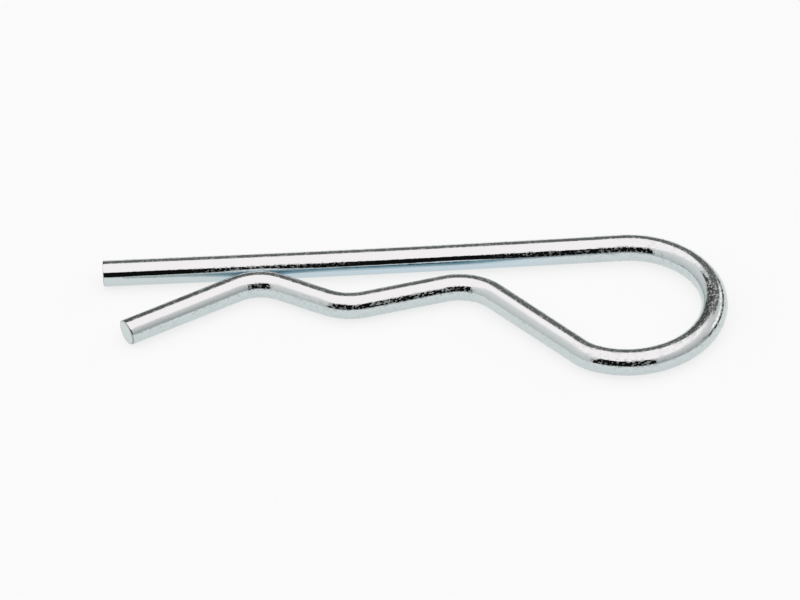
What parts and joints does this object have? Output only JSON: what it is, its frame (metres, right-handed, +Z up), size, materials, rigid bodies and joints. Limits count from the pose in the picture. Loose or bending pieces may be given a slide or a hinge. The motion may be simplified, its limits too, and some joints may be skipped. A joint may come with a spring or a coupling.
{
  "type": "hitch r clip pin",
  "caption": "Spring retaining clip of one bent round wire: a straight leg for a pin's cross hole, a wavy leg that snaps over the pin, and a round eye to pull it by.",
  "frame": {"origin": "on the axis of the straight leg, where the axis of the gripped pin crosses it; the clip lies flat, with its mid-plane at z = 0", "axes": "+X along the straight leg towards the eye, -X out of its free end, wavy leg on the -Y side, +Z up, square to the plane of the clip and along the gripped pin"},
  "size_m": [0.0943, 0.0302, 0.004],
  "materials": {
    "zinc_plated_wire": "bright zinc plated spring steel wire, glossy, with faint drawn lines along its length"
  },
  "bodies": {
    "root": {"r_clip": "zinc_plated_wire"}
  },
  "joints": []
}
